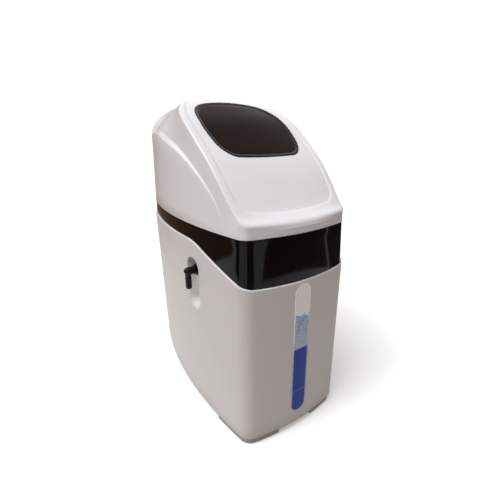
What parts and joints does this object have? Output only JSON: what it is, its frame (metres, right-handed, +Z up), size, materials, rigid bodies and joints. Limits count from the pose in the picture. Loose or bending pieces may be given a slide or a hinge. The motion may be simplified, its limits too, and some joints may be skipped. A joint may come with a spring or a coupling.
{
  "type": "water softener",
  "caption": "Cabinet water softener: salt cabinet with a black trim band, a hinged sloping hood with a smoked window, an overflow elbow, and the tank and valve inside.",
  "frame": {"origin": "on the floor, in the middle of the base", "axes": "+Z up, -Y to the front with the label and the sloping window, +X to the user's right"},
  "size_m": [0.2835, 0.4752, 0.6131],
  "materials": {
    "hood_white": "glossy",
    "body_white": "fine texture",
    "band_black": "glossy",
    "window_smoke": "smoked, glossy",
    "bezel_grey": "satin",
    "base_grey": "satin",
    "label_print": "printed film",
    "hinge_steel": "satin",
    "bright_steel": "satin",
    "elbow_black": "satin",
    "seal_rubber": "matt",
    "tank_wrap": "satin",
    "boot_black": "matt",
    "resin_amber": "grains",
    "screen_white": "satin",
    "valve_black": "glass filled",
    "piston_white": "satin",
    "fitting_white": "satin",
    "gear_nylon": "satin",
    "bracket_grey": "satin",
    "motor_zinc": "satin",
    "cover_black": "fine texture",
    "board_green": "satin",
    "display_clear": "clear",
    "button_grey": "matt",
    "jack_black": "satin",
    "knob_red": "satin",
    "stub_white": "smooth",
    "well_white": "satin",
    "cap_grey": "satin",
    "float_white": "satin"
  },
  "bodies": {
    "cabinet": {"base_plinth": "base_grey", "cabinet_body": "body_white", "trim_band": "band_black", "front_label": "label_print", "hinge_lower_leaves": "hinge_steel", "hinge_pins": "bright_steel", "case_screws": "bright_steel", "overflow_fitting": "elbow_black", "overflow_gasket": "seal_rubber", "overflow_nut": "elbow_black", "resin_tank": "tank_wrap", "tank_boot": "boot_black", "resin_bed": "resin_amber", "bottom_basket": "screen_white", "riser_tube": "screen_white", "top_screen": "screen_white", "valve_body": "valve_black", "end_plug": "valve_black", "spacer_stack": "screen_white", "seal_rings": "seal_rubber", "injector": "piston_white", "injector_cap": "valve_black", "drain_elbow": "fitting_white", "brine_elbow": "fitting_white", "brine_nut": "fitting_white", "brine_tube": "fitting_white", "drive_bracket": "bracket_grey", "drive_motor": "motor_zinc", "valve_cover": "cover_black", "display_board": "board_green", "display_lens": "display_clear", "power_jack": "jack_black", "meter_spindle": "bright_steel", "bypass_body": "valve_black", "union_nuts": "valve_black", "pipe_stubs": "stub_white", "brine_well": "well_white", "brine_valve": "float_white", "brine_riser": "well_white", "salt_grid": "well_white"},
    "hood": {"hood_cover": "hood_white", "window_bezel": "bezel_grey", "window_lens": "window_smoke", "hinge_upper_leaves": "hinge_steel", "hood_screws": "bright_steel"},
    "overflow_elbow": {"overflow_elbow": "elbow_black"},
    "inlet_knob": {"inlet_knob": "knob_red"},
    "outlet_knob": {"outlet_knob": "knob_red"},
    "menu_button": {"menu_button": "button_grey"},
    "down_button": {"down_button": "button_grey"},
    "up_button": {"up_button": "button_grey"},
    "set_button": {"set_button": "button_grey"},
    "drive_gear": {"drive_gear": "gear_nylon"},
    "idler_gear": {"idler_gear": "gear_nylon"},
    "motor_pinion": {"motor_pinion": "gear_nylon"},
    "piston": {"piston": "piston_white", "piston_rod": "piston_white"},
    "flow_turbine": {"flow_turbine": "piston_white"},
    "brine_float": {"brine_float": "float_white"},
    "well_cap": {"well_cap": "cap_grey"}
  },
  "joints": [
    {"name": "hood_hinge", "type": "hinge", "parent": "cabinet", "child": "hood", "pos_m": [0, 0.22314, 0.394], "axis": [-1, 0, 0], "range_deg": [0, 85]},
    {"name": "elbow_swivel", "type": "hinge", "parent": "cabinet", "child": "overflow_elbow", "pos_m": [-0.12, -0.072, 0.309], "axis": [1, 0, 0], "range_deg": [-90, 90]},
    {"name": "inlet_turn", "type": "hinge", "parent": "cabinet", "child": "inlet_knob", "pos_m": [0.034, 0.169, 0.41], "axis": [0, 0, 1], "range_deg": [0, 90]},
    {"name": "outlet_turn", "type": "hinge", "parent": "cabinet", "child": "outlet_knob", "pos_m": [-0.034, 0.169, 0.41], "axis": [0, 0, 1], "range_deg": [0, 90]},
    {"name": "menu_press", "type": "slide", "parent": "cabinet", "child": "menu_button", "axis": [0, 0.5195, -0.8545], "range_m": [0, 0.0012], "stiffness_N_per_m": 400, "springref_m": -0.0005},
    {"name": "down_press", "type": "slide", "parent": "cabinet", "child": "down_button", "axis": [0, 0.5195, -0.8545], "range_m": [0, 0.0012], "stiffness_N_per_m": 400, "springref_m": -0.0005},
    {"name": "up_press", "type": "slide", "parent": "cabinet", "child": "up_button", "axis": [0, 0.5195, -0.8545], "range_m": [0, 0.0012], "stiffness_N_per_m": 400, "springref_m": -0.0005},
    {"name": "set_press", "type": "slide", "parent": "cabinet", "child": "set_button", "axis": [0, 0.5195, -0.8545], "range_m": [0, 0.0012], "stiffness_N_per_m": 400, "springref_m": -0.0005},
    {"name": "drive_turn", "type": "hinge", "parent": "cabinet", "child": "drive_gear", "pos_m": [0, -0.024, 0.424], "axis": [0, -1, 0], "range_deg": [0, 1080]},
    {"name": "idler_turn", "type": "hinge", "parent": "cabinet", "child": "idler_gear", "pos_m": [-0.04157, -0.027, 0.448], "axis": [0, -1, 0], "range_deg": [-1800, 0]},
    {"name": "pinion_turn", "type": "hinge", "parent": "cabinet", "child": "motor_pinion", "pos_m": [-0.04157, -0.027, 0.4732], "axis": [0, -1, 0], "range_deg": [0, 4500]},
    {"name": "piston_stroke", "type": "slide", "parent": "cabinet", "child": "piston", "axis": [0, -1, 0], "range_m": [0, 0.03]},
    {"name": "turbine_spin", "type": "hinge", "parent": "cabinet", "child": "flow_turbine", "pos_m": [-0.034, 0.093, 0.392], "axis": [0, 1, 0], "continuous": true},
    {"name": "float_rise", "type": "slide", "parent": "cabinet", "child": "brine_float", "axis": [0, 0, 1], "range_m": [0, 0.012]},
    {"name": "cap_lift", "type": "slide", "parent": "cabinet", "child": "well_cap", "axis": [0, 0, 1], "range_m": [0, 0.04]}
  ],
  "couplings": [
    {"joint": "idler_turn", "follows": "drive_turn", "ratio": -1.6667},
    {"joint": "pinion_turn", "follows": "drive_turn", "ratio": 4.1667},
    {"joint": "piston_stroke", "follows": "drive_turn", "m_per_rad": 0.0015915}
  ]
}
